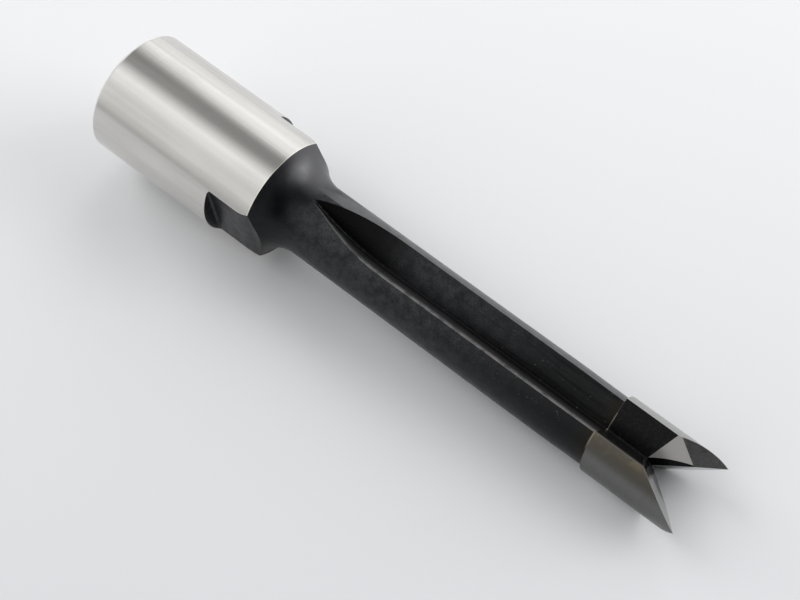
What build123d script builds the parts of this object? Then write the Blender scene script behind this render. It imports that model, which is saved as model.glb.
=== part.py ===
from build123d import *
import os
from math import asin, cos, pi, radians, sin, sqrt, tan

# A mortising bit for an oscillating slot mortiser: two straight flutes, right-hand, with a carbide head.
# The bit's axis is +X: the back face of the shank is at x = 0 and the two points are at the +X end.
# +Z is up. One flute opens straight up and the other straight down, so the lands lie along -Y and +Y.
# Sizes are in millimetres and angles in degrees. A turn about the axis is counted from +Z towards -Y.

# Lengths along the axis
overall_length = 102.8
shank_length = 30.0
head_length = 15.3

# Diameters
cutting_diameter = 12.0
stem_diameter = 11.1
shank_diameter = 19.0

# Shank edge and the neck's hollow sweep down to the stem
back_chamfer = 0.6
neck_radius = 5.8

# The stem is eased a little where it runs up to the brazed joint
stem_relief = 0.1
stem_relief_length = 7.0

# Threaded socket in the back of the shank, drawn at the thread's outer diameter
socket_diameter = 12.0
socket_depth = 18.0
socket_mouth_chamfer = 0.5
drill_point_angle = 118.0

# Wrench flats, milled on two opposite sides and open towards the neck, where they dip a little
across_flats = 15.2
flat_length = 7.3
flat_corner_radius = 0.4
flat_turn = 99.0
flat_dip = 0.3
flat_dip_length = 2.0

# V flutes, left by an angle cutter that leaves its own round at the neck end. The web is measured along Z.
# Each root lies a little off the middle, towards the land behind it. A wall's slope is counted from Y.
rake_slope = 45.0
web_thickness = 2.9
flute_root_offset = 0.38
flute_root_radius = 0.3
flute_full_depth_start = 49.7
flute_cutter_radius = 26.9
flute_cutter_rim = 16.0
flute_cutter_sweep = 50.0

# The flutes' trailing walls bow outwards. They leave the root at a slope of their own in the steel and in
# the carbide, and have turned by heel_turn where the bow ends, clear of the bit.
steel_heel_slope = 62.3
carbide_heel_slope = 66.0
heel_radius = 8.0
heel_turn = 36.0

# Brazed joint between the stem and the carbide head
braze_thickness = 0.15
braze_bead = 0.15

# Ground end of the head. A slope is the rise along the axis for each millimetre outwards along the land,
# or for each millimetre towards the land's leading flute.
point_lead = 0.356
end_slope_out = 1.31
end_slope_lead = 0.76
bevel_slope_out = 0.88
bevel_slope_lead = -0.93
gash_depth = 8.95
gash_slope_out = 1.59
gash_slope_lead = -1.05

# Sizes that follow from the ones above
shank_radius = shank_diameter / 2
stem_radius = stem_diameter / 2
head_radius = cutting_diameter / 2
socket_radius = socket_diameter / 2
flat_start = shank_length - flat_length
flat_height = across_flats / 2
flute_root_height = web_thickness / 2
head_start = overall_length - head_length
stem_end = head_start - braze_thickness
stem_end_radius = stem_radius - stem_relief
neck_centre_radius = stem_radius + neck_radius
neck_length = sqrt(neck_radius**2 - (neck_centre_radius - shank_radius) ** 2)
neck_end = shank_length + neck_length
point_out = sqrt(head_radius**2 - point_lead**2)
clear = 2 * shank_diameter


def turned(*outline):
    """The solid that a closed outline makes when it is turned once about the bit's axis."""
    return revolve(make_face(outline), Axis.X, 360)


def turned_blank():
    """The steel blank as it leaves the lathe: shank, neck and stem."""
    half_turn = asin(neck_length / neck_radius) / 2
    neck_middle = (
        neck_end - neck_radius * sin(half_turn),
        neck_centre_radius - neck_radius * cos(half_turn),
    )
    rim = (shank_length, shank_radius)
    neck_foot = (neck_end, stem_radius)
    return turned(
        Polyline((0, 0), (0, shank_radius - back_chamfer), (back_chamfer, shank_radius), rim),
        ThreePointArc(rim, neck_middle, neck_foot),
        Polyline(neck_foot, (stem_end - stem_relief_length, stem_radius), (stem_end, stem_end_radius)),
        Polyline((stem_end, stem_end_radius), (stem_end, 0), (0, 0)),
    )


def socket_space():
    """The threaded socket, with its countersunk mouth and the drill's point at its bottom."""
    point_depth = socket_radius / tan(radians(drill_point_angle / 2))
    return turned(
        Polyline(
            (0, 0),
            (0, socket_radius + socket_mouth_chamfer),
            (socket_mouth_chamfer, socket_radius),
            (socket_depth, socket_radius),
            (socket_depth + point_depth, 0),
            (0, 0),
        )
    )


def wrench_flat_cut():
    """What is milled away for a wrench flat that faces up, with the small round that the cutter leaves."""
    corner_inset = flat_corner_radius * (1 - cos(pi / 4))
    dip_radius = (flat_dip_length**2 + flat_dip**2) / (2 * flat_dip)
    half_dip = asin(flat_dip_length / dip_radius) / 2
    dip_start = (shank_length - flat_dip_length, flat_height)
    dip_middle = (dip_start[0] + dip_radius * sin(half_dip), flat_height - dip_radius * (1 - cos(half_dip)))
    dip_end = (shank_length, flat_height - flat_dip)
    wall_foot = (flat_start, flat_height + flat_corner_radius)
    corner_middle = (flat_start + corner_inset, flat_height + corner_inset)
    flat_foot = (flat_start + flat_corner_radius, flat_height)
    side = make_face(
        [
            ThreePointArc(wall_foot, corner_middle, flat_foot),
            Line(flat_foot, dip_start),
            ThreePointArc(dip_start, dip_middle, dip_end),
            Polyline(
                dip_end,
                (neck_end, flat_height - flat_dip),
                (neck_end, clear),
                (flat_start, clear),
                wall_foot,
            ),
        ]
    )
    return extrude(Plane.XZ * side, shank_diameter, both=True)


def flute_cut(heel_slope):
    """What the angle cutter takes away for the flute that opens upwards, and its round at the neck end."""

    def root_point(slope):
        angle = radians(slope)
        return flute_root_radius * sin(angle), flute_root_height + flute_root_radius * (1 - cos(angle))

    def bow_point(turn):
        start, angle = radians(heel_slope), radians(heel_slope - turn)
        return (
            heel_foot[0] - heel_radius * (sin(start) - sin(angle)),
            heel_foot[1] + heel_radius * (cos(angle) - cos(start)),
        )

    heel_foot, rake_foot = root_point(-heel_slope), root_point(rake_slope)
    heel_top = bow_point(heel_turn)
    rake_width = flute_cutter_rim / tan(radians(rake_slope))
    rim_height = rake_foot[1] + flute_cutter_rim
    outline = [
        ThreePointArc(heel_foot, root_point(0), rake_foot),
        Polyline(rake_foot, (rake_foot[0] + rake_width, rim_height), (-rake_width, rim_height), heel_top),
        ThreePointArc(heel_foot, bow_point(heel_turn / 2), heel_top),
    ]
    across = Plane((flute_full_depth_start, -flute_root_offset, 0), x_dir=(0, 1, 0), z_dir=(1, 0, 0))
    section = across * make_face(outline)
    cutter_axis = Axis((flute_full_depth_start, 0, flute_root_height + flute_cutter_radius), (0, 1, 0))
    straight = extrude(section, clear + overall_length, dir=(1, 0, 0))
    run_out = revolve(section, cutter_axis, flute_cutter_sweep)
    return straight + run_out


def both_ways(shape):
    """A shape and its copy on the other side of the axis."""
    return shape + shape.rotate(Axis.X, 180)


def behind(axis_crossing, slope_out, slope_lead):
    """The space behind a sloping plane on the land along -Y, whose leading flute opens downwards."""
    plane = Plane(origin=(axis_crossing, 0, 0), z_dir=(1, slope_out, slope_lead))
    return plane * Box(clear, clear, clear, align=(Align.CENTER, Align.CENTER, Align.MAX))


def ground_end():
    """What the grinding leaves of the head: each land stays behind its end face, its bevel and its gash."""
    end_crossing = overall_length - end_slope_out * point_out - end_slope_lead * point_lead
    bevel_crossing = overall_length - bevel_slope_out * point_out - bevel_slope_lead * point_lead
    gash_rise_at_root = gash_slope_lead * flute_root_height - gash_slope_out * flute_root_offset
    gash_crossing = overall_length - gash_depth - gash_rise_at_root
    land = behind(end_crossing, end_slope_out, end_slope_lead)
    land &= behind(bevel_crossing, bevel_slope_out, bevel_slope_lead)
    land &= behind(gash_crossing, gash_slope_out, gash_slope_lead)
    return both_ways(land)


def rod(radius, start, end):
    """A plain round bar along the bit's axis."""
    return turned(Polyline((start, 0), (start, radius), (end, radius), (end, 0), (start, 0)))


def braze_ring():
    """The film of braze before fluting: it fills the joint, with a small bead against the head."""
    stem_edge = (stem_end, stem_end_radius)
    bead_edge = (head_start, stem_end_radius + braze_bead)
    return turned(Polyline((stem_end, 0), stem_edge, bead_edge, (head_start, 0), (stem_end, 0)))


wrench_flats = both_ways(wrench_flat_cut()).rotate(Axis.X, flat_turn)
steel_flutes = both_ways(flute_cut(steel_heel_slope))
carbide_flutes = both_ways(flute_cut(carbide_heel_slope))
carbide_rod = rod(head_radius, head_start, overall_length + head_radius)

nodes = {
    "steel_body": turned_blank() - socket_space() - wrench_flats - steel_flutes,
    "braze_joint": braze_ring() - steel_flutes,
    "carbide_head": (carbide_rod - carbide_flutes) & ground_end(),
}

os.makedirs("parts", exist_ok=True)
for name, solid in nodes.items():
    export_step(solid, f"parts/{name}.step")
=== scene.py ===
"""Studio scene of a mortising bit that lies on a pale table.

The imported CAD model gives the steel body, the braze joint and the carbide head. This script gives
them their finishes, winds the thread in the shank's socket as a piece of its own, and sets the
table, the soft lights and the camera. The bit's axis is +X, with the shank's back face at x = 0,
and +Z is up. Lengths are in metres.
"""

import logging
import math
from dataclasses import dataclass, field
from enum import Enum
from functools import reduce

import bmesh
import bpy
from mathutils import Matrix, Vector


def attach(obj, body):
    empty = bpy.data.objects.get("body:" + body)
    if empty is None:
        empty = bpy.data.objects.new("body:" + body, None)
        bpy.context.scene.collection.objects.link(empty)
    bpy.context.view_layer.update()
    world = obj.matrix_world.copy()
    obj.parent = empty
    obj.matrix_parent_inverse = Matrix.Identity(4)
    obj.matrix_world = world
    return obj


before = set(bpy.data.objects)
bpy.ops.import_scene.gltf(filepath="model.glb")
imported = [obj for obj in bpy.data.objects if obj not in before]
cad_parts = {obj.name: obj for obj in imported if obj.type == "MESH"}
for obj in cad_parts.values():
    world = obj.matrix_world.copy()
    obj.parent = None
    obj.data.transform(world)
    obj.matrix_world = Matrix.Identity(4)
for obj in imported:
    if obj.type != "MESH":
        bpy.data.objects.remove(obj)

LOG = logging.getLogger("mortising_bit")
MM = 0.001
BIT_MIDDLE = (50.0 * MM, 0.0, 0.0)

Colour = tuple[float, float, float]
Point = tuple[float, float, float]
Band = tuple[float, ...]
Socket = bpy.types.NodeSocket


def mm(*sizes: float) -> Band:
    """Sizes in millimetres, given back in metres."""
    return tuple(size * MM for size in sizes)


class Slot(Enum):
    """The record's material slots."""

    STEEL = "steel"
    BRAZE = "braze"
    CARBIDE = "carbide"


class Node(Enum):
    """The CAD nodes of the bit."""

    STEEL_BODY = "steel_body"
    BRAZE_JOINT = "braze_joint"
    CARBIDE_HEAD = "carbide_head"


class Sum(Enum):
    """Steps of arithmetic, by their names in a Math node."""

    ADD = "ADD"
    SUBTRACT = "SUBTRACT"
    MULTIPLY = "MULTIPLY"
    MINIMUM = "MINIMUM"
    MAXIMUM = "MAXIMUM"
    ABSOLUTE = "ABSOLUTE"
    SIGN = "SIGN"
    SQRT = "SQRT"


@dataclass(frozen=True)
class Grain:
    """A noise: its cells for each metre, along the bit and across it, and its finer layers."""

    along: float
    across: float
    detail: float = 4.0


@dataclass(frozen=True)
class FluteShape:
    """Measures of the flutes' section, and the bands in it that the finishes follow.

    A band is where a mask starts and where it is whole. A skin is a band of depth at a wall.
    """

    bow_across: float
    bow_height: float
    heel_out: Band
    bow_radius: float = 8.0 * MM
    leading_line: float = 1.706 * MM
    full_depth: float = 49.7 * MM
    cutter_height: float = 28.35 * MM
    stem: Band = mm(35.6, 36.2)
    leading_half: Band = mm(-0.66, -0.56)
    trailing_half: Band = mm(-0.56, -0.66)
    leading_skin: Band = mm(0.05, 0.01)
    trailing_skin: Band = mm(-0.07, -0.02)
    heel_skin: Band = mm(-0.15, -0.03)
    margin_skin: Band = mm(4.6, 2.6)
    margin_across: Band = mm(1.4, 1.6)
    margin_along: Band = mm(33.0, 39.0)
    root_trailing: Band = mm(-0.8, -0.7)
    root_leading: Band = mm(-0.1, -0.2)
    root_height: Band = mm(2.0, 1.85)


STEEL_FLUTES = FluteShape(
    bow_across=-7.729 * MM, bow_height=-2.108 * MM, heel_out=mm(4.7, 5.2)
)
CARBIDE_FLUTES = FluteShape(
    bow_across=-7.962 * MM, bow_height=-1.626 * MM, heel_out=mm(5.55, 5.9)
)


class NodeBench:
    """A node tree, with short calls for the nodes that the finishes and the room share."""

    def __init__(self, tree: bpy.types.NodeTree) -> None:
        """Takes up a node tree.

        Args:
            tree: The node tree.
        """
        self.nodes = tree.nodes
        self.links = tree.links

    def feed(self, socket: Socket, value: Socket | Colour | float) -> None:
        """Links a socket to another node's output, or sets its constant.

        Args:
            socket: The input to feed.
            value: An output socket, a number or a colour.
        """
        if isinstance(value, Socket):
            self.links.new(value, socket)
        elif socket.type == "RGBA":
            socket.default_value = (*value, 1.0)
        else:
            socket.default_value = value

    def sum(self, step: Sum, *values: Socket | float) -> Socket:
        """One step of arithmetic.

        Args:
            step: Which step it is.
            *values: What it works on.

        Returns:
            The result's output socket.
        """
        node = self.nodes.new("ShaderNodeMath")
        node.operation = step.value
        for socket, value in zip(node.inputs, values):
            self.feed(socket, value)
        return node.outputs[0]

    def chain(self, step: Sum, *values: Socket | float) -> Socket:
        """The same step of arithmetic over several values, from the first to the last.

        Args:
            step: Which step it is.
            *values: What it works on.

        Returns:
            The result's output socket.
        """
        return reduce(lambda so_far, value: self.sum(step, so_far, value), values)

    def plus(self, *values: Socket | float) -> Socket:
        """The values added up."""
        return self.chain(Sum.ADD, *values)

    def minus(self, first: Socket | float, second: Socket | float) -> Socket:
        """The first value less the second."""
        return self.sum(Sum.SUBTRACT, first, second)

    def times(self, *values: Socket | float) -> Socket:
        """The values, or masks from 0 to 1, multiplied together."""
        return self.chain(Sum.MULTIPLY, *values)

    def least(self, *values: Socket | float) -> Socket:
        """The lowest of the values."""
        return self.chain(Sum.MINIMUM, *values)

    def most(self, *values: Socket | float) -> Socket:
        """The highest of the values."""
        return self.chain(Sum.MAXIMUM, *values)

    def reach(self, first: Socket, second: Socket) -> Socket:
        """The distance that two sides at a right angle span."""
        return self.sum(Sum.SQRT, self.plus(self.times(first, first), self.times(second, second)))

    def between(self, value: Socket, low: float, high: float) -> Socket:
        """A smooth step from 0 at low to 1 at high.

        Args:
            value: The quantity that is compared.
            low: Where the step starts.
            high: Where it ends; below low, the step runs downwards.

        Returns:
            The step's output socket.
        """
        node = self.nodes.new("ShaderNodeMapRange")
        node.interpolation_type = "SMOOTHSTEP"
        ends = (low, high, 0.0, 1.0) if low < high else (high, low, 1.0, 0.0)
        for socket, end in zip(("From Min", "From Max", "To Min", "To Max"), ends):
            node.inputs[socket].default_value = end
        self.feed(node.inputs["Value"], value)
        return node.outputs["Result"]

    def blend(
        self, share: Socket | float, first: Socket | float, second: Socket | float
    ) -> Socket:
        """Mixes two numbers.

        Args:
            share: How much of the second there is, from 0 to 1.
            first: A number or an output socket.
            second: A number or an output socket.

        Returns:
            The mix's output socket.
        """
        node = self.nodes.new("ShaderNodeMix")
        node.data_type = "FLOAT"
        for place, value in zip((0, 2, 3), (share, first, second)):
            self.feed(node.inputs[place], value)
        return node.outputs[0]

    def tint(self, share: Socket, first: Socket | Colour, second: Socket | Colour) -> Socket:
        """Mixes two colours.

        Args:
            share: How much of the second there is, from 0 to 1.
            first: A colour or an output socket.
            second: A colour or an output socket.

        Returns:
            The mix's output socket.
        """
        node = self.nodes.new("ShaderNodeMix")
        node.data_type = "RGBA"
        for place, value in zip((0, 6, 7), (share, first, second)):
            self.feed(node.inputs[place], value)
        return node.outputs[2]


class ShaderBench(NodeBench):
    """A material's node tree with one Principled shader, and the place of a point on the piece."""

    def __init__(self, name: str) -> None:
        """Starts an empty material.

        Args:
            name: The material's name.
        """
        self.material = bpy.data.materials.new(name)
        self.material.use_nodes = True
        super().__init__(self.material.node_tree)
        self.nodes.clear()
        output = self.nodes.new("ShaderNodeOutputMaterial")
        self.shader = self.nodes.new("ShaderNodeBsdfPrincipled")
        self.links.new(self.shader.outputs["BSDF"], output.inputs["Surface"])
        self.place = self.nodes.new("ShaderNodeTexCoord").outputs["Object"]
        split = self.nodes.new("ShaderNodeSeparateXYZ")
        self.links.new(self.place, split.inputs[0])
        self.x, self.y, self.z = split.outputs
        self.out = self.reach(self.y, self.z)

    def grain(self, grain: Grain) -> Socket:
        """Noise over the piece, in its own coordinates.

        Args:
            grain: The noise's measures.

        Returns:
            The noise's output socket, around 0.5.
        """
        scaled = self.nodes.new("ShaderNodeMapping")
        scaled.inputs["Scale"].default_value = (grain.along, grain.across, grain.across)
        self.links.new(self.place, scaled.inputs["Vector"])
        node = self.nodes.new("ShaderNodeTexNoise")
        node.inputs["Scale"].default_value = 1.0
        node.inputs["Detail"].default_value = grain.detail
        self.links.new(scaled.outputs["Vector"], node.inputs["Vector"])
        return node.outputs["Fac"]

    def flute_place(self, shape: FluteShape) -> tuple[Socket, Socket]:
        """Where a point is in the section of the flute on its side, also in the cutter's round.

        Args:
            shape: The flutes' measures.

        Returns:
            The output sockets of the place across, towards the leading wall, and of the height.
        """
        across = self.times(self.y, self.sum(Sum.SIGN, self.z))
        back = self.least(self.minus(self.x, shape.full_depth), 0.0)
        below = self.minus(shape.cutter_height, self.sum(Sum.ABSOLUTE, self.z))
        return across, self.minus(shape.cutter_height, self.reach(back, below))

    def coat(self, colour: Socket, metallic: Socket | float, roughness: Socket | float) -> None:
        """Feeds the shader with a finish.

        Args:
            colour: The base colour.
            metallic: How metallic it is.
            roughness: How rough it is.
        """
        self.feed(self.shader.inputs["Base Color"], colour)
        self.feed(self.shader.inputs["Metallic"], metallic)
        self.feed(self.shader.inputs["Roughness"], roughness)

    def bump(self, height: Socket, depth: float) -> None:
        """Feeds the shader's normal with a height.

        Args:
            height: The height, from 0 to 1.
            depth: What a height of 1 measures, in metres.
        """
        node = self.nodes.new("ShaderNodeBump")
        node.inputs["Strength"].default_value = 1.0
        node.inputs["Distance"].default_value = depth
        self.feed(node.inputs["Height"], height)
        self.links.new(node.outputs["Normal"], self.shader.inputs["Normal"])


class FluteMasks:
    """Marks the flutes' walls and what lies along their edges: 1 there and 0 elsewhere."""

    def __init__(self, bench: ShaderBench, shape: FluteShape) -> None:
        """Marks the walls, the root, the heel's edge and the land's margin in front of a flute.

        Args:
            bench: The material's node tree.
            shape: The flutes' measures.
        """
        across, self.height = bench.flute_place(shape)
        on_stem = bench.between(bench.x, *shape.stem)
        depth = bench.minus(shape.leading_line, bench.minus(self.height, across))
        from_bow = bench.reach(
            bench.minus(across, shape.bow_across), bench.minus(self.height, shape.bow_height)
        )
        past_bow = bench.minus(from_bow, shape.bow_radius)
        self.trailing_side = bench.times(on_stem, bench.between(across, *shape.trailing_half))
        self.trailing = bench.times(
            self.trailing_side, bench.between(past_bow, *shape.trailing_skin)
        )
        self.heel_edge = bench.times(
            self.trailing_side,
            bench.between(past_bow, *shape.heel_skin),
            bench.between(bench.out, *shape.heel_out),
        )
        self.leading = bench.times(
            on_stem,
            bench.between(across, *shape.leading_half),
            bench.between(depth, *shape.leading_skin),
        )
        self.margin = bench.times(
            bench.minus(1.0, self.leading),
            bench.between(depth, *shape.margin_skin),
            bench.between(across, *shape.margin_across),
            bench.between(bench.x, *shape.margin_along),
        )
        self.root = bench.times(
            on_stem,
            bench.between(across, *shape.root_trailing),
            bench.between(across, *shape.root_leading),
            bench.between(self.height, *shape.root_height),
        )


@dataclass(frozen=True)
class GroundSteel:
    """Bright ground steel, streaked along the bit, with a painted highlight along the shank's front
    rim.

    A cover is a band of a noise.
    """

    bright: Colour = (0.67, 0.66, 0.638)
    dull: Colour = (0.57, 0.556, 0.527)
    # Painted highlight: a pale bright line along the shank's front rim.
    rim: Colour = (0.82, 0.8, 0.72)
    rim_highlight_along: Band = mm(29.84, 29.94)
    streaks: Grain = Grain(22.0, 1500.0, detail=6.0)
    streak_cover: Band = (0.3, 0.72)
    clouds: Grain = Grain(60.0, 160.0, detail=3.0)
    cloud_cover: Band = (0.35, 0.7)
    cloud_share: float = 0.55
    rings: Grain = Grain(9000.0, 60.0)
    ring_height: float = 0.4
    roughness: Band = (0.16, 0.28)

    def layers(self, bench: ShaderBench) -> tuple[Socket, Socket, Socket]:
        """Builds what the shader needs.

        Args:
            bench: The material's node tree.

        Returns:
            The output sockets of the colour, the roughness and the height.
        """
        streaks = bench.between(bench.grain(self.streaks), *self.streak_cover)
        clouds = bench.between(bench.grain(self.clouds), *self.cloud_cover)
        tone = bench.blend(self.cloud_share, streaks, clouds)
        colour = bench.tint(tone, self.bright, self.dull)
        # Painted highlight along the shank's front rim.
        colour = bench.tint(bench.between(bench.x, *self.rim_highlight_along), colour, self.rim)
        height = bench.times(bench.grain(self.rings), self.ring_height)
        return colour, bench.blend(tone, *self.roughness), height


@dataclass(frozen=True)
class BlackOxide:
    """Black oxide on the neck, stem, flutes and wrench flats, with its wear, and with painted
    highlights and painted shade.

    A band is where a mask starts and where it is whole, and a cover is such a band of a noise. A
    swing gives a mask's or noise's factor at 0 and at 1.
    """

    black: Colour = (0.014, 0.0145, 0.0155)
    rubbed_black: Colour = (0.045, 0.0465, 0.05)
    # Soot in the dark smears, and painted shade in the flutes' root and run-out.
    soot_and_shade: Colour = (0.006, 0.006, 0.006)
    heat_tint: Colour = (0.017, 0.0155, 0.011)
    # Painted highlight on the neck's far side.
    painted_neck_highlight: Colour = (0.12, 0.12, 0.127)
    wall_grey: Colour = (0.085, 0.085, 0.09)
    margin_grey: Colour = (0.14, 0.141, 0.147)
    # Worn bare steel, and a painted highlight along the heel's edge.
    bare_edge_and_highlight: Colour = (0.24, 0.236, 0.228)
    braze_run: Colour = (0.22, 0.195, 0.155)
    metallic: float = 0.85
    bare_metallic: float = 0.6
    roughness: Band = (0.26, 0.52)

    # Noises
    mottle: Grain = Grain(800.0, 800.0, detail=8.0)
    grit: Grain = Grain(3600.0, 3600.0)
    smears: Grain = Grain(35.0, 1000.0, detail=3.0)
    specks: Grain = Grain(2400.0, 2400.0, detail=2.0)
    blotches: Grain = Grain(700.0, 700.0, detail=6.0)
    fine: Grain = Grain(2600.0, 2600.0, detail=5.0)

    # The stem, rubbed thin, and the smears on the leading walls
    rubbed_along: Band = mm(86.0, 48.0)
    rubbed_past_neck: Band = mm(31.0, 41.0)
    rubbed_on_shank: Band = mm(30.4, 29.6)
    rubbed_neck_swing: Band = (0.15, 1.0)
    rubbed_cover: Band = (0.1, 0.75)
    rubbed_grit: Band = (0.3, 0.7)
    rubbed_grit_swing: Band = (0.6, 1.5)
    smeared_along: Band = mm(56.0, 72.0)
    smear_swing: Band = (0.3, 1.7)
    pale_smears: Band = (0.48, 0.66)
    pale_smear_share: float = 0.4
    dark_smears: Band = (0.47, 0.34)
    dark_smear_share: float = 0.75

    # Heat beside the joint, and a painted highlight on the neck's far side
    heated_along: Band = mm(84.35, 87.35)
    heated_cover: Band = (0.3, 0.6)
    painted_neck_highlight_across: Band = mm(-1.5, 3.5)
    painted_neck_highlight_along: Band = mm(37.0, 33.0)

    # The flutes' own tones, with painted shade in the root and the run-out
    run_out_shade_along: Band = mm(56.0, 45.0)
    root_shade_swing: Band = (0.6, 1.1)
    wall_out: Band = mm(2.4, 5.2)
    wall_along: Band = mm(37.0, 50.0)
    margin_swing: Band = (0.5, 1.1)

    # Bare steel and a painted highlight along the heel's edge, and scuffs
    bare_cover: Band = (0.2, 0.6)
    bare_grit_swing: Band = (0.5, 1.4)
    bare_along: Band = mm(36.0, 54.0)
    bare_along_swing: Band = (0.4, 1.0)
    scuff_cover: Band = (0.68, 0.75)
    scuff_along: Band = mm(40.0, 86.0)
    scuff_share: float = 0.25

    # Braze that has run onto the stem
    run_along: Band = mm(87.09, 87.19)
    run_height: Band = mm(1.8, 3.6)
    run_out: Band = mm(5.1, 5.3)
    run_cover: Band = (0.2, 0.5)

    def rubbed(
        self, bench: ShaderBench, masks: FluteMasks, mottle: Socket, grit: Socket
    ) -> Socket:
        """The black, rubbed along the stem and smeared on the leading walls.

        Args:
            bench: The material's node tree.
            masks: The flutes' masks.
            mottle: The cloudy noise.
            grit: The fine noise.

        Returns:
            The colour's output socket.
        """
        smears = bench.grain(self.smears)
        smeared = bench.times(masks.leading, bench.between(bench.x, *self.smeared_along))
        past_neck = bench.most(
            bench.between(bench.x, *self.rubbed_past_neck),
            bench.between(bench.x, *self.rubbed_on_shank),
        )
        rubbed = bench.times(
            bench.between(bench.x, *self.rubbed_along),
            bench.between(mottle, *self.rubbed_cover),
            bench.blend(bench.between(grit, *self.rubbed_grit), *self.rubbed_grit_swing),
            bench.blend(smeared, 1.0, bench.blend(smears, *self.smear_swing)),
            bench.blend(past_neck, *self.rubbed_neck_swing),
        )
        pale = bench.times(
            smeared, bench.between(smears, *self.pale_smears), self.pale_smear_share
        )
        dark = bench.times(
            smeared, bench.between(smears, *self.dark_smears), self.dark_smear_share
        )
        colour = bench.tint(bench.most(rubbed, pale), self.black, self.rubbed_black)
        return bench.tint(dark, colour, self.soot_and_shade)

    def stained(self, bench: ShaderBench, mottle: Socket, colour: Socket) -> Socket:
        """The heat's tint beside the joint, and a painted highlight on the neck's far side.

        Args:
            bench: The material's node tree.
            mottle: The cloudy noise.
            colour: The colour so far.

        Returns:
            The colour's output socket.
        """
        heated = bench.times(
            bench.between(bench.x, *self.heated_along), bench.between(mottle, *self.heated_cover)
        )
        colour = bench.tint(heated, colour, self.heat_tint)
        # Painted highlight: the neck lighter on its far side.
        neck_highlight_mask = bench.times(
            bench.between(bench.y, *self.painted_neck_highlight_across),
            bench.between(bench.x, *self.painted_neck_highlight_along),
        )
        return bench.tint(neck_highlight_mask, colour, self.painted_neck_highlight)

    def fluted(
        self, bench: ShaderBench, masks: FluteMasks, mottle: Socket, colour: Socket
    ) -> Socket:
        """The flutes' tones: painted shade in the root and the run-out, grey trailing wall, pale
        margin.

        Args:
            bench: The material's node tree.
            masks: The flutes' masks.
            mottle: The cloudy noise.
            colour: The colour so far.

        Returns:
            The colour's output socket.
        """
        # Painted shade in the crease of the root and down the run-out.
        run_out_shade = bench.times(masks.leading, bench.between(bench.x, *self.run_out_shade_along))
        root_shade = bench.times(masks.root, bench.blend(mottle, *self.root_shade_swing))
        colour = bench.tint(bench.most(run_out_shade, root_shade), colour, self.soot_and_shade)
        up_the_wall = bench.times(
            masks.trailing,
            bench.between(bench.out, *self.wall_out),
            bench.between(bench.x, *self.wall_along),
        )
        colour = bench.tint(up_the_wall, colour, self.wall_grey)
        on_margin = bench.times(masks.margin, bench.blend(mottle, *self.margin_swing))
        return bench.tint(on_margin, colour, self.margin_grey)

    def bared(
        self, bench: ShaderBench, masks: FluteMasks, mottle: Socket, grit: Socket
    ) -> Socket:
        """Marks worn bare steel with a painted highlight along the heel's edge, and the scuffs on
        the stem.

        Args:
            bench: The material's node tree.
            masks: The flutes' masks.
            mottle: The cloudy noise.
            grit: The fine noise.

        Returns:
            The mask's output socket.
        """
        # Worn bare steel and a painted highlight along the heel's edge.
        edge = bench.times(
            masks.heel_edge,
            bench.between(mottle, *self.bare_cover),
            bench.blend(grit, *self.bare_grit_swing),
            bench.blend(bench.between(bench.x, *self.bare_along), *self.bare_along_swing),
        )
        scuffs = bench.times(
            bench.between(bench.grain(self.specks), *self.scuff_cover),
            bench.between(bench.x, *self.scuff_along),
            self.scuff_share,
        )
        return bench.least(bench.most(edge, scuffs), 1.0)

    def run(self, bench: ShaderBench, masks: FluteMasks, mottle: Socket) -> Socket:
        """Marks where a little braze has run onto the stem, beside the joint.

        Args:
            bench: The material's node tree.
            masks: The flutes' masks.
            mottle: The cloudy noise.

        Returns:
            The mask's output socket.
        """
        return bench.times(
            bench.between(bench.x, *self.run_along),
            bench.between(masks.height, *self.run_height),
            bench.between(bench.out, *self.run_out),
            masks.trailing_side,
            bench.between(mottle, *self.run_cover),
        )

    def layers(self, bench: ShaderBench) -> tuple[Socket, Socket, Socket, Socket]:
        """Builds what the shader needs.

        Args:
            bench: The material's node tree.

        Returns:
            The output sockets of the colour, the metallic share, the roughness and the height.
        """
        masks = FluteMasks(bench, STEEL_FLUTES)
        mottle, grit = bench.grain(self.mottle), bench.grain(self.grit)
        colour = self.rubbed(bench, masks, mottle, grit)
        colour = self.stained(bench, mottle, colour)
        colour = self.fluted(bench, masks, mottle, colour)
        bare = self.bared(bench, masks, mottle, grit)
        run = self.run(bench, masks, mottle)
        colour = bench.tint(bare, colour, self.bare_edge_and_highlight)
        colour = bench.tint(run, colour, self.braze_run)
        metallic = bench.blend(bench.most(bare, run), self.metallic, self.bare_metallic)
        roughness = bench.blend(bench.grain(self.blotches), *self.roughness)
        return colour, metallic, roughness, bench.grain(self.fine)


@dataclass(frozen=True)
class BodySteel:
    """The steel body's finish: ground on the shank's outside and back face, black elsewhere."""

    ground: GroundSteel = GroundSteel()
    oxide: BlackOxide = BlackOxide()
    shank_along: Band = mm(30.04, 30.02)
    shank_out: Band = mm(9.42, 9.47)
    back_face: Band = mm(0.75, 0.7)
    bump_depth: float = 0.014 * MM

    def material(self) -> bpy.types.Material:
        """Builds the finish.

        Returns:
            The material.
        """
        bench = ShaderBench("body_steel")
        on_shank = bench.times(
            bench.between(bench.x, *self.shank_along), bench.between(bench.out, *self.shank_out)
        )
        ground = bench.most(on_shank, bench.between(bench.x, *self.back_face))
        steel, steel_rough, steel_height = self.ground.layers(bench)
        oxide, oxide_metallic, oxide_rough, oxide_height = self.oxide.layers(bench)
        bench.coat(
            colour=bench.tint(ground, oxide, steel),
            metallic=bench.most(ground, oxide_metallic),
            roughness=bench.blend(ground, oxide_rough, steel_rough),
        )
        bench.bump(bench.blend(ground, oxide_height, steel_height), self.bump_depth)
        return bench.material


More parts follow.
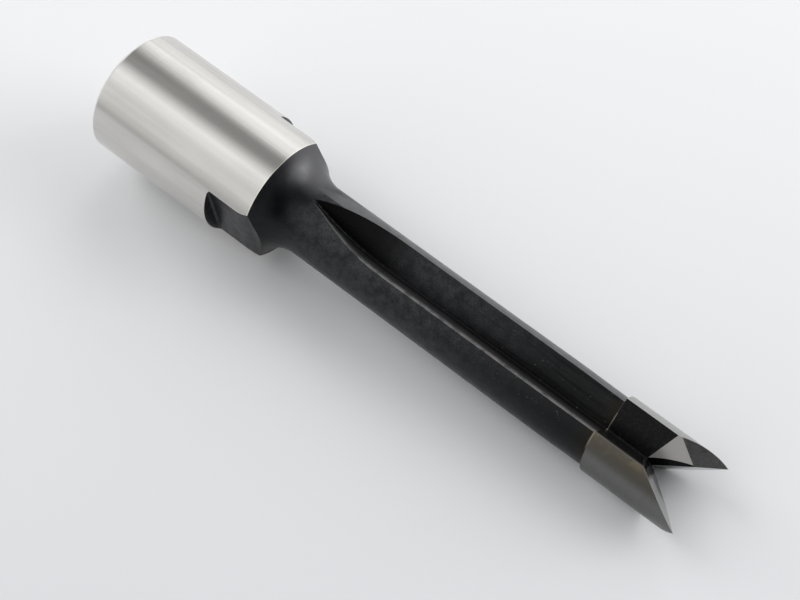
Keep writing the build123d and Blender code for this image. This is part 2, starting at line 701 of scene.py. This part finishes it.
@dataclass(frozen=True)
class GroundFace:
    """A plane of a land's ground end: its place on the axis, and its rise out and to its lead."""

    crossing: float
    rise_out: float
    rise_lead: float

    def plane(self, bench: ShaderBench, out: Socket, lead: Socket) -> Socket:
        """Where the plane is along the bit, beside a point.

        Args:
            bench: The material's node tree.
            out: How far out the point is along the land.
            lead: How far it is towards the land's leading flute.

        Returns:
            The place's output socket.
        """
        rises = bench.plus(bench.times(out, self.rise_out), bench.times(lead, self.rise_lead))
        return bench.plus(rises, self.crossing)


@dataclass(frozen=True)
class EndFaces:
    """The planes that the head's end is ground to, and the bands that mark them.

    A land's planes are its end face, the bevel at its point and its gash. Painted shade lies in
    each gash's bottom, below a border that falls away on both sides of its top, and on the land
    along
    +Y it reaches onto the end face.
    """

    end: GroundFace = GroundFace(94.684 * MM, rise_out=1.31, rise_lead=0.76)
    bevel: GroundFace = GroundFace(97.861 * MM, rise_out=0.88, rise_lead=-0.93)
    gash: GroundFace = GroundFace(95.977 * MM, rise_out=1.59, rise_lead=-1.05)
    own_land: Band = mm(-0.5, -0.3)
    skin: Band = mm(0.05, 0.02)
    # Where shade is painted in the gashes and on the +Y land's end face.
    soot_and_shade_height: float = 1.72 * MM
    painted_shade_middle: float = 1.0 * MM
    painted_shade_fall: float = 0.1 / MM
    painted_shade_border: Band = mm(0.05, -0.03)
    painted_shade_end: Band = mm(3.4, 2.7)

    def on_plane(self, bench: ShaderBench, plane: Socket) -> Socket:
        """Marks the points that lie on a plane, from its place along the bit beside them."""
        return bench.between(bench.sum(Sum.ABSOLUTE, bench.minus(plane, bench.x)), *self.skin)

    def masks(self, bench: ShaderBench) -> tuple[Socket, Socket, Socket, Socket]:
        """Marks the ground faces.

        Args:
            bench: The material's node tree.

        Returns:
            Output sockets that are 1 on all of them, on the end faces alone, on the gashes alone
            and in the painted shade.
        """
        lands, ends, gashes, soot_and_shade = [], [], [], []
        for side in (1.0, -1.0):
            out, lead = bench.times(bench.y, side), bench.times(bench.z, side)
            own = bench.between(out, *self.own_land)
            end, bevel, gash = (
                face.plane(bench, out, lead) for face in (self.end, self.bevel, self.gash)
            )
            lands.append(bench.least(end, bevel, gash))
            ends.append(bench.times(own, self.on_plane(bench, end)))
            gashes.append(bench.times(own, self.on_plane(bench, gash)))
            # Painted shade in the gash's bottom, and on the +Y land's end face.
            from_top = bench.minus(out, self.painted_shade_middle)
            fall = bench.times(from_top, from_top, self.painted_shade_fall)
            above = bench.minus(bench.plus(lead, fall), self.soot_and_shade_height)
            soot_and_shade.append(bench.times(gashes[-1], bench.between(above, *self.painted_shade_border)))
            if side > 0:
                soot_and_shade.append(bench.times(ends[-1], bench.between(out, *self.painted_shade_end)))
        fresh = bench.between(bench.minus(bench.most(*lands), bench.x), *self.skin)
        return fresh, bench.most(*ends), bench.most(*gashes), bench.most(*soot_and_shade)


@dataclass(frozen=True)
class GroundCarbide:
    """The carbide head's finish: dull outside, freshly ground at its end, dark in its flutes, with
    painted shade at its end.
    """

    dull: Colour = (0.15, 0.15, 0.147)
    stained: Colour = (0.088, 0.08, 0.064)
    golden: Colour = (0.135, 0.115, 0.082)
    margin: Colour = (0.4, 0.395, 0.385)
    # Painted highlight along the heel's edge.
    edge: Colour = (0.2, 0.19, 0.17)
    fresh: Colour = (0.46, 0.45, 0.44)
    gashed: Colour = (0.52, 0.505, 0.48)
    # Painted shade on the end faces, towards the web.
    painted_end_shade: Colour = (0.05, 0.045, 0.042)
    black: Colour = (0.002, 0.002, 0.002)
    black_speckled: Colour = (0.009, 0.009, 0.009)
    roughness: Band = (0.26, 0.42)
    fresh_roughness: Band = (0.15, 0.26)
    gashed_metallic: float = 0.5
    specular: float = 0.15
    bump_depth: float = 0.003 * MM
    end_faces: EndFaces = EndFaces()

    # Noises
    mottle: Grain = Grain(520.0, 520.0, detail=8.0)
    grit: Grain = Grain(2600.0, 2600.0)
    rings: Grain = Grain(7000.0, 90.0)
    scratches: Grain = Grain(300.0, 4000.0, detail=3.0)

    # Where rings, stains, gold and speckles show, and how far out shade is painted on the end faces
    ring_cover: Band = (0.3, 0.7)
    ring_share: float = 0.15
    stain_height: Band = mm(2.0, 4.3)
    stain_cover: Band = (0.0, 0.45)
    gold_height: Band = mm(4.1, 4.8)
    gold_cover: Band = (0.4, 0.6)
    speckle_cover: Band = (0.45, 0.7)
    painted_end_shade_out: Band = mm(3.4, 2.2)

    def outside(
        self, bench: ShaderBench, masks: FluteMasks, mottle: Socket, rings: Socket
    ) -> Socket:
        """The dull outside: ringed, stained and golden beside the flutes, with pale margins and a
        painted highlight along the heel's edge.

        Args:
            bench: The material's node tree.
            masks: The flutes' masks.
            mottle: The cloudy noise.
            rings: The noise that runs round the head.

        Returns:
            The colour's output socket.
        """
        ringed = bench.times(bench.between(rings, *self.ring_cover), self.ring_share)
        stain = bench.times(
            bench.between(masks.height, *self.stain_height),
            bench.between(mottle, *self.stain_cover),
        )
        gold = bench.times(
            bench.between(masks.height, *self.gold_height), bench.between(mottle, *self.gold_cover)
        )
        colour = bench.tint(ringed, self.dull, self.stained)
        colour = bench.tint(stain, colour, self.stained)
        colour = bench.tint(gold, colour, self.golden)
        colour = bench.tint(masks.margin, colour, self.margin)
        # Painted highlight along the heel's edge.
        return bench.tint(bench.times(masks.trailing, masks.heel_edge), colour, self.edge)

    def material(self) -> bpy.types.Material:
        """Builds the finish.

        Returns:
            The material.
        """
        bench = ShaderBench("ground_carbide")
        masks = FluteMasks(bench, CARBIDE_FLUTES)
        mottle, rings = bench.grain(self.mottle), bench.grain(self.rings)
        scratches = bench.grain(self.scratches)
        fresh, end, gash, soot_and_shade = self.end_faces.masks(bench)
        wall = bench.most(
            masks.leading, bench.times(masks.trailing, bench.minus(1.0, masks.heel_edge))
        )
        speckled = bench.between(bench.grain(self.grit), *self.speckle_cover)
        black = bench.tint(speckled, self.black, self.black_speckled)
        # Painted shade: the end faces dark near the web.
        painted_end_shade = bench.times(end, bench.between(bench.out, *self.painted_end_shade_out))
        ground = bench.tint(painted_end_shade, self.fresh, self.painted_end_shade)
        ground = bench.tint(gash, ground, self.gashed)
        # Painted shade: black in the gashes' bottoms and on the +Y land's end face.
        ground = bench.tint(soot_and_shade, ground, self.black)
        worked = bench.tint(wall, self.outside(bench, masks, mottle, rings), black)
        metallic = bench.blend(bench.minus(wall, fresh), 1.0, 0.0)
        metallic = bench.blend(bench.times(gash, fresh), metallic, self.gashed_metallic)
        bench.coat(
            colour=bench.tint(fresh, worked, ground),
            metallic=bench.blend(bench.times(soot_and_shade, fresh), metallic, 0.0),
            roughness=bench.blend(
                fresh,
                bench.blend(mottle, *self.roughness),
                bench.blend(scratches, *self.fresh_roughness),
            ),
        )
        bench.feed(bench.shader.inputs["Specular IOR Level"], self.specular)
        bench.bump(bench.blend(fresh, rings, scratches), self.bump_depth)
        return bench.material


@dataclass(frozen=True)
class BrazeMetal:
    """The braze's finish: pale silver-brass that has run and cooled, sooty high in the flutes."""

    pale: Colour = (0.3, 0.28, 0.24)
    dull: Colour = (0.1, 0.09, 0.075)
    sooty: Colour = (0.006, 0.006, 0.006)
    soot_and_shade_height: Band = mm(3.1, 3.5)
    blotches: Grain = Grain(900.0, 900.0, detail=6.0)
    roughness: Band = (0.3, 0.55)
    bump_depth: float = 0.02 * MM

    def material(self) -> bpy.types.Material:
        """Builds the finish.

        Returns:
            The material.
        """
        bench = ShaderBench("braze_metal")
        masks = FluteMasks(bench, STEEL_FLUTES)
        blotches = bench.grain(self.blotches)
        soot_and_shade = bench.times(masks.leading, bench.between(masks.height, *self.soot_and_shade_height))
        bench.coat(
            colour=bench.tint(soot_and_shade, bench.tint(blotches, self.pale, self.dull), self.sooty),
            metallic=bench.blend(soot_and_shade, 1.0, 0.0),
            roughness=bench.blend(blotches, *self.roughness),
        )
        bench.bump(blotches, self.bump_depth)
        return bench.material


@dataclass(frozen=True)
class TableTop:
    """The table's finish: matt, with painted shade that makes it a little darker near the camera,
    and a very faint mottle.
    """

    pale: Colour = (0.94, 0.945, 0.955)
    # Painted shade: the table darker towards the camera.
    shade: Colour = (0.785, 0.795, 0.82)
    away_along: float = -0.66
    away_across: float = 0.75
    half_width: float = 90.0 * MM
    clouds: Grain = Grain(9.0, 9.0, detail=3.0)
    cloud_middle: float = 0.5
    cloud_shift: float = 20.0 * MM
    roughness: float = 0.9

    def material(self) -> bpy.types.Material:
        """Builds the finish.

        Returns:
            The material.
        """
        bench = ShaderBench("table_top")
        away = bench.plus(
            bench.times(bench.minus(bench.x, BIT_MIDDLE[0]), self.away_along),
            bench.times(bench.y, self.away_across),
            bench.times(bench.minus(bench.grain(self.clouds), self.cloud_middle), self.cloud_shift),
        )
        far = bench.between(away, -self.half_width, self.half_width)
        bench.coat(bench.tint(far, self.shade, self.pale), 0.0, self.roughness)
        return bench.material


def fresh_piece(
    name: str, mesh: bmesh.types.BMesh, material: bpy.types.Material
) -> bpy.types.Object:
    """Makes an object of a bmesh, at the origin, and frees the bmesh.

    Args:
        name: The object's name.
        mesh: Its shape, in place.
        material: Its finish.

    Returns:
        The object, linked to the scene.
    """
    data = bpy.data.meshes.new(name)
    mesh.to_mesh(data)
    mesh.free()
    data.materials.append(material)
    piece = bpy.data.objects.new(name, data)
    bpy.context.scene.collection.objects.link(piece)
    return piece


@dataclass
class MortisingBit:
    """The bit: its CAD nodes with their finishes, and the thread in its socket."""

    thread_pitch: float = 1.0 * MM
    thread_outer: float = 6.03 * MM
    thread_inner: float = 5.46 * MM
    thread_start: float = 1.2 * MM
    root_share: float = 0.84
    crest_share: float = 0.16
    thread_turns: int = 15
    thread_steps: int = 48
    body_steel: BodySteel = field(default_factory=BodySteel)
    braze: BrazeMetal = field(default_factory=BrazeMetal)
    carbide: GroundCarbide = field(default_factory=GroundCarbide)

    def dress(self) -> None:
        """Gives each CAD node its finish."""
        finishes = (
            (Node.STEEL_BODY, Slot.STEEL, self.body_steel),
            (Node.BRAZE_JOINT, Slot.BRAZE, self.braze),
            (Node.CARBIDE_HEAD, Slot.CARBIDE, self.carbide),
        )
        for node, slot, finish in finishes:
            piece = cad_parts[node.value]
            piece.data.materials.clear()
            piece.data.materials.append(finish.material())
            faces = len(piece.data.polygons)
            LOG.info("%s dressed as %s, %d faces", piece.name, slot.value, faces)

    def wind_thread(self) -> bpy.types.Object:
        """Winds the ridge of the socket's inner thread.

        Returns:
            The thread, riding on the bit.
        """
        half_root = self.root_share * self.thread_pitch / 2
        half_crest = self.crest_share * self.thread_pitch / 2
        outline = (
            (-half_root, self.thread_outer),
            (-half_crest, self.thread_inner),
            (half_crest, self.thread_inner),
            (half_root, self.thread_outer),
        )
        mesh = bmesh.new()
        corners = [mesh.verts.new((self.thread_start + along, out, 0.0)) for along, out in outline]
        profile = mesh.faces.new(corners)
        bmesh.ops.spin(
            mesh,
            geom=[profile, *profile.edges, *profile.verts],
            cent=(0.0, 0.0, 0.0),
            axis=(1.0, 0.0, 0.0),
            dvec=(self.thread_pitch / self.thread_steps, 0.0, 0.0),
            angle=2.0 * math.pi * self.thread_turns,
            steps=self.thread_turns * self.thread_steps,
        )
        bmesh.ops.recalc_face_normals(mesh, faces=mesh.faces)
        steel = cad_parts[Node.STEEL_BODY.value].data.materials[0]
        thread = fresh_piece("socket_thread", mesh, steel)
        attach(thread, "root")
        LOG.info("%s wound, %d faces", thread.name, len(thread.data.polygons))
        return thread


@dataclass(frozen=True)
class RoomPart:
    """A soft part of the room that gives light: where it lies, how bright it is and how wide.

    Its light begins at the rim and is whole at the heart, each the cosine of an angle from it.
    """

    towards: Point
    level: float
    rim: float = 0.6
    heart: float = 0.85


@dataclass(frozen=True)
class Lamp:
    """A square soft light that faces the middle of the bit.

    It is turned from straight up towards -Y and then leans towards +X, in degrees. At a level of
    1 its own face would look just white.
    """

    name: str
    turn: float
    lean: float
    distance: float
    side: float
    level: float
    colour: Colour = (1.0, 1.0, 1.0)


@dataclass
class Studio:
    """The table, the soft lights and the camera.

    The table passes under the bit through the lowest point of the shank's front rim, with a slope
    along the bit and one across it.
    """

    rim: Point = (30.0 * MM, 0.0, -9.5 * MM)
    slope_along: float = 0.0686
    slope_across: float = 0.0114
    table_side: float = 6.0
    camera_place: Point = (154.55 * MM, -125.36 * MM, 246.03 * MM)
    camera_right: Point = (0.7567, 0.6537, 0.0148)
    camera_up: Point = (-0.5545, 0.6297, 0.5440)
    camera_back: Point = (0.3463, -0.4198, 0.8389)
    lens: float = 95.8
    sensor: float = 36.0
    clip_start: float = 0.01
    clip_end: float = 20.0
    watts_per_level: float = 4.0
    lamps: tuple[Lamp, ...] = (
        Lamp("far_low", turn=-80.0, lean=-19.0, distance=0.6, side=0.36, level=0.28,
             colour=(0.965, 0.98, 1.0)),
        Lamp("far_mid", turn=-52.0, lean=-20.0, distance=0.6, side=0.3, level=0.32,
             colour=(0.98, 0.985, 1.0)),
        Lamp("key", turn=-50.0, lean=45.0, distance=0.6, side=0.45, level=2.45),
        Lamp("back", turn=0.0, lean=-60.0, distance=0.8, side=0.5, level=2.6),
    )
    room_parts: tuple[RoomPart, ...] = (
        RoomPart((0.0, 0.93, 0.36), level=0.85),
        RoomPart((0.0, 0.0, 1.0), level=0.3),
        RoomPart((-0.42, -0.68, 0.6), level=0.92, rim=0.63, heart=0.94),
    )
    backdrop_level: float = 0.9

    def table_height(self, x: float, y: float) -> float:
        """How high the table is at a place under the bit."""
        rise = self.slope_along * (x - self.rim[0]) + self.slope_across * y
        return self.rim[2] + rise

    def lay_table(self) -> bpy.types.Object:
        """Lays the table under the shank's front rim and the head's lower flute edges.

        Returns:
            The table.
        """
        mesh = bmesh.new()
        bmesh.ops.create_grid(mesh, x_segments=1, y_segments=1, size=self.table_side / 2)
        for corner in mesh.verts:
            corner.co.z = self.table_height(corner.co.x, corner.co.y)
        table = fresh_piece("table", mesh, TableTop().material())
        LOG.info("%s laid", table.name)
        return table

    def hang_lamp(self, lamp: Lamp) -> bpy.types.Object:
        """Hangs one lamp.

        Args:
            lamp: Its place, size and brightness.

        Returns:
            The light.
        """
        data = bpy.data.lights.new(lamp.name, "AREA")
        data.shape = "SQUARE"
        data.size = lamp.side
        data.energy = self.watts_per_level * lamp.level * lamp.side**2
        data.color = lamp.colour
        light = bpy.data.objects.new(lamp.name, data)
        turn, lean = math.radians(lamp.turn), math.radians(lamp.lean)
        towards = Vector(
            (math.sin(lean), -math.sin(turn) * math.cos(lean), math.cos(turn) * math.cos(lean))
        )
        light.location = Vector(BIT_MIDDLE) + towards * lamp.distance
        light.rotation_euler = towards.to_track_quat("Z", "Y").to_euler()
        bpy.context.scene.collection.objects.link(light)
        LOG.info("%s hung", lamp.name)
        return light

    def room(self) -> bpy.types.World:
        """Lights the room from its soft parts. What the camera sees past the table is pale.

        Returns:
            The world.
        """
        world = bpy.data.worlds.new("room")
        world.use_nodes = True
        bench = NodeBench(world.node_tree)
        place = bench.nodes.new("ShaderNodeTexCoord").outputs["Generated"]
        glows = []
        for part in self.room_parts:
            facing = bench.nodes.new("ShaderNodeVectorMath")
            facing.operation = "DOT_PRODUCT"
            facing.inputs[1].default_value = Vector(part.towards).normalized()
            bench.links.new(place, facing.inputs[0])
            glow = bench.between(facing.outputs["Value"], part.rim, part.heart)
            glows.append(bench.times(glow, part.level))
        seen = bench.nodes.new("ShaderNodeLightPath").outputs["Is Camera Ray"]
        background = bench.nodes["Background"]
        bench.feed(background.inputs["Color"], (1.0, 1.0, 1.0))
        level = bench.blend(seen, bench.plus(*glows), self.backdrop_level)
        bench.feed(background.inputs["Strength"], level)
        return world

    def light(self) -> None:
        """Hangs the lamps and lights the room."""
        for lamp in self.lamps:
            self.hang_lamp(lamp)
        bpy.context.scene.world = self.room()

    def set_camera(self) -> bpy.types.Object:
        """Places the camera where the photograph was taken.

        Returns:
            The camera.
        """
        data = bpy.data.cameras.new("photo_camera")
        data.lens = self.lens
        data.sensor_width = self.sensor
        data.clip_start = self.clip_start
        data.clip_end = self.clip_end
        camera = bpy.data.objects.new("photo_camera", data)
        turn = Matrix((self.camera_right, self.camera_up, self.camera_back)).transposed()
        camera.matrix_world = Matrix.Translation(self.camera_place) @ turn.to_4x4()
        bpy.context.scene.collection.objects.link(camera)
        bpy.context.scene.camera = camera
        LOG.info("%s placed", camera.name)
        return camera


def main() -> None:
    """Builds the whole scene."""
    logging.basicConfig(level=logging.INFO, format="%(name)s: %(message)s")
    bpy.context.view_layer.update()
    bpy.context.scene.view_settings.view_transform = "Standard"
    bit = MortisingBit()
    bit.dress()
    bit.wind_thread()
    studio = Studio()
    studio.lay_table()
    studio.light()
    studio.set_camera()


if __name__ == "__main__":
    main()
